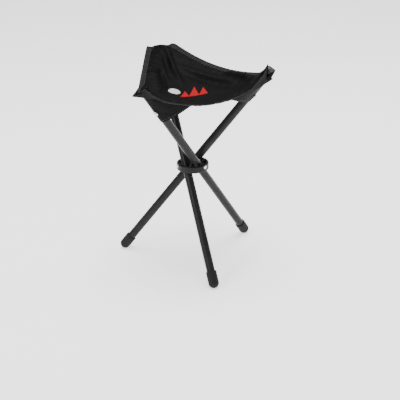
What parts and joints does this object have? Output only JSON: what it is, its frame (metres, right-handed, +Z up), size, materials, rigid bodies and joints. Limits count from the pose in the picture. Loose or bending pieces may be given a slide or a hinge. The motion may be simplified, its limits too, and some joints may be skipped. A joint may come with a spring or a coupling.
{
  "type": "folding three leg stool",
  "caption": "Folding stool of crossed tube legs pinned in a round hub, with a sagging triangular fabric seat held by corner pockets over the legs' upper ends.",
  "frame": {"origin": "on the floor, on the axis of three-fold symmetry through the hub", "axes": "+Z up along the symmetry axis; +X across and +Y to the back, with leg a's pivot 40 degrees clockwise from +X seen from above"},
  "size_m": [0.3903, 0.3712, 0.4706],
  "materials": {
    "hub_plastic": "moulded, satin",
    "plated_steel": "bright zinc plating",
    "coated_steel_tube": "charcoal powder coat, satin",
    "washer_nylon": "moulded nylon",
    "foot_rubber": "matt moulded rubber",
    "plug_plastic": "moulded",
    "pocket_fabric": "coated polyester weave, slight sheen",
    "seat_fabric": "coated polyester weave, slight sheen",
    "binding_tape": "woven grosgrain tape"
  },
  "bodies": {
    "hub": {"hub": "hub_plastic", "pivot_rivet_a": "plated_steel", "pivot_rivet_b": "plated_steel", "pivot_rivet_c": "plated_steel", "seat_panel": "seat_fabric", "edge_binding_ab": "binding_tape", "edge_binding_bc": "binding_tape", "edge_binding_ca": "binding_tape"},
    "leg_a": {"leg_tube_a": "coated_steel_tube", "saddle_washers_a": "washer_nylon", "foot_cap_a": "foot_rubber", "top_plug_a": "plug_plastic", "corner_pocket_a": "pocket_fabric", "pocket_washer_a": "plated_steel", "pocket_rivet_a": "plated_steel"},
    "leg_b": {"leg_tube_b": "coated_steel_tube", "saddle_washers_b": "washer_nylon", "foot_cap_b": "foot_rubber", "top_plug_b": "plug_plastic", "corner_pocket_b": "pocket_fabric", "pocket_washer_b": "plated_steel", "pocket_rivet_b": "plated_steel"},
    "leg_c": {"leg_tube_c": "coated_steel_tube", "saddle_washers_c": "washer_nylon", "foot_cap_c": "foot_rubber", "top_plug_c": "plug_plastic", "corner_pocket_c": "pocket_fabric", "pocket_washer_c": "plated_steel", "pocket_rivet_c": "plated_steel"}
  },
  "joints": [
    {"name": "leg_a_fold", "type": "hinge", "parent": "hub", "child": "leg_a", "pos_m": [0.01264, -0.01061, 0.23324], "axis": [-0.766, 0.6428, 0], "range_deg": [0, 37.5], "deforming": ["seat_panel", "edge_binding_ab", "edge_binding_bc", "edge_binding_ca", "corner_pocket_a"]},
    {"name": "leg_b_fold", "type": "hinge", "parent": "hub", "child": "leg_b", "pos_m": [0.00286, 0.01625, 0.23324], "axis": [-0.1736, -0.9848, 0], "range_deg": [0, 37.5], "deforming": ["seat_panel", "edge_binding_ab", "edge_binding_bc", "edge_binding_ca", "corner_pocket_b"]},
    {"name": "leg_c_fold", "type": "hinge", "parent": "hub", "child": "leg_c", "pos_m": [-0.0155, -0.00564, 0.23324], "axis": [0.9397, 0.342, 0], "range_deg": [0, 37.5], "deforming": ["seat_panel", "edge_binding_ab", "edge_binding_bc", "edge_binding_ca", "corner_pocket_c"]}
  ],
  "couplings": [
    {"joint": "leg_b_fold", "follows": "leg_a_fold", "ratio": 1},
    {"joint": "leg_c_fold", "follows": "leg_a_fold", "ratio": 1}
  ]
}
